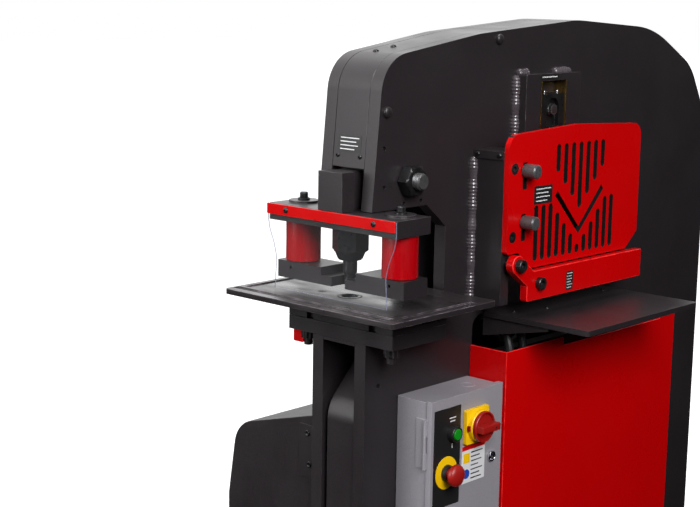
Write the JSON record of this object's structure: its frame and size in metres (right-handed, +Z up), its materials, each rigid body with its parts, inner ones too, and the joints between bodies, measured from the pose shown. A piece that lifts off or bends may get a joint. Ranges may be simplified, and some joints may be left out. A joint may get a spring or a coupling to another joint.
{
  "type": "hydraulic punch and shear press",
  "caption": "Hydraulic ironworker press: a rocker arm between two thick side plates drives a punch ram over a grooved table and a shear blade carrier behind a red slotted guard.",
  "frame": {"origin": "middle of the footprint, on the floor", "axes": "+X along the machine from the punch end to the cylinder end, -Y towards the operator, +Z up"},
  "size_m": [1.208, 0.66, 1.4292],
  "materials": {
    "charcoal": "satin textured charcoal enamel",
    "red": "glossy red enamel",
    "steel": "machined steel",
    "bright_steel": "ground and plated steel",
    "black_oxide": "blackened steel",
    "urethane": "dark red cast urethane",
    "clear": "clear flexible polycarbonate sheet",
    "grey": "grey enclosure enamel",
    "yellow": "moulded yellow plastic",
    "green": "moulded green plastic",
    "red_plastic": "moulded red plastic",
    "brass": "bare brass",
    "rubber": "black hydraulic hose"
  },
  "bodies": {
    "frame": {"near_side_plate": "charcoal", "far_side_plate": "charcoal", "column_web": "charcoal", "head_cover": "charcoal", "top_cover": "charcoal", "front_foot": "charcoal", "rear_foot": "charcoal", "ram_guide_block": "steel", "guide_bolt": "black_oxide", "guide_nut": "black_oxide", "slug_chute": "charcoal", "bolster_lower": "charcoal", "bolster_upper": "charcoal", "punch_table": "charcoal", "die": "steel", "main_pivot_pin": "steel", "cylinder_barrel": "charcoal", "shear_guide": "charcoal", "gib_left": "brass", "gib_right": "brass", "fixed_blade": "steel", "housing_left": "charcoal", "housing_right": "charcoal", "shear_guard": "red", "hinge_bolt": "black_oxide", "shear_table": "charcoal", "cabinet_cover": "red", "cover_hinge_pin": "steel", "oil_tank": "charcoal", "pump_motor": "steel", "valve_block": "bright_steel", "hose_upper": "rubber", "hose_lower": "rubber", "enclosure_body": "grey"},
    "rocker_arm": {"rocker_arm": "charcoal"},
    "ram": {"ram": "charcoal", "crosshead_bar": "charcoal", "shield_strip": "red", "punch_shield": "clear", "coupling_nut": "black_oxide", "punch": "steel", "urethane_spring_near": "urethane", "urethane_spring_far": "urethane"},
    "stripper": {"stripper_plate": "charcoal", "stripper_stud_near": "black_oxide", "stripper_stud_far": "black_oxide"},
    "cylinder_rod": {"cylinder_rod": "bright_steel"},
    "shear_carrier": {"shear_carrier": "black_oxide", "shear_drive_pin": "steel"},
    "holddown": {"holddown_slide": "steel", "knob_upper": "black_oxide", "knob_lower": "black_oxide"},
    "hinged_bar": {"hinged_bar": "red"},
    "far_cover": {"far_cover": "charcoal"},
    "door": {"enclosure_door": "grey", "switch_base": "yellow"},
    "door_latch": {"door_latch": "bright_steel"},
    "switch_handle": {"switch_handle": "red_plastic"},
    "start_button": {"start_button": "green"},
    "estop_button": {"estop_button": "red_plastic"}
  },
  "joints": [
    {"name": "arm_pivot", "type": "hinge", "parent": "frame", "child": "rocker_arm", "pos_m": [-0.171, 0, 1.265], "axis": [0, -1, 0], "range_deg": [0, 6.03]},
    {"name": "ram_slide", "type": "slide", "parent": "frame", "child": "ram", "axis": [0, 0, -1], "range_m": [0, 0.03], "deforming": ["punch_shield"]},
    {"name": "stripper_slide", "type": "slide", "parent": "ram", "child": "stripper", "axis": [0, 0, 1], "range_m": [0, 0.012], "deforming": ["urethane_spring_near", "urethane_spring_far"]},
    {"name": "rod_slide", "type": "slide", "parent": "frame", "child": "cylinder_rod", "axis": [0, 0, 1], "range_m": [0, 0.0637]},
    {"name": "carrier_slide", "type": "slide", "parent": "frame", "child": "shear_carrier", "axis": [0, 0, 1], "range_m": [0, 0.0157]},
    {"name": "holddown_slide", "type": "slide", "parent": "frame", "child": "holddown", "axis": [0, 0, -1], "range_m": [-0.008, 0.028]},
    {"name": "bar_hinge", "type": "hinge", "parent": "frame", "child": "hinged_bar", "pos_m": [-0.213, -0.1536, 0.992], "axis": [0, -1, 0], "range_deg": [0, 30]},
    {"name": "far_cover_hinge", "type": "hinge", "parent": "frame", "child": "far_cover", "pos_m": [-0.505, 0.0685, 0.65], "axis": [0, 0, 1], "range_deg": [0, 95]},
    {"name": "door_hinge", "type": "hinge", "parent": "frame", "child": "door", "pos_m": [-0.4356, -0.1345, 0.6945], "axis": [0, 0, -1], "range_deg": [0, 110]},
    {"name": "latch_turn", "type": "hinge", "parent": "door", "child": "door_latch", "pos_m": [-0.2594, -0.15, 0.6395], "axis": [0, 1, 0], "range_deg": [0, 90]},
    {"name": "switch_turn", "type": "hinge", "parent": "door", "child": "switch_handle", "pos_m": [-0.3104, -0.175, 0.7105], "axis": [0, 1, 0], "range_deg": [0, 90]},
    {"name": "start_press", "type": "slide", "parent": "door", "child": "start_button", "axis": [0, 1, 0], "range_m": [0, 0.004], "stiffness_N_per_m": 400},
    {"name": "estop_press", "type": "slide", "parent": "door", "child": "estop_button", "axis": [0, 1, 0], "range_m": [0, 0.005]}
  ],
  "couplings": [
    {"joint": "ram_slide", "follows": "arm_pivot", "m_per_rad": 0.285},
    {"joint": "stripper_slide", "follows": "arm_pivot", "m_per_rad": 0.114},
    {"joint": "rod_slide", "follows": "arm_pivot", "m_per_rad": 0.605},
    {"joint": "carrier_slide", "follows": "arm_pivot", "m_per_rad": 0.149}
  ]
}
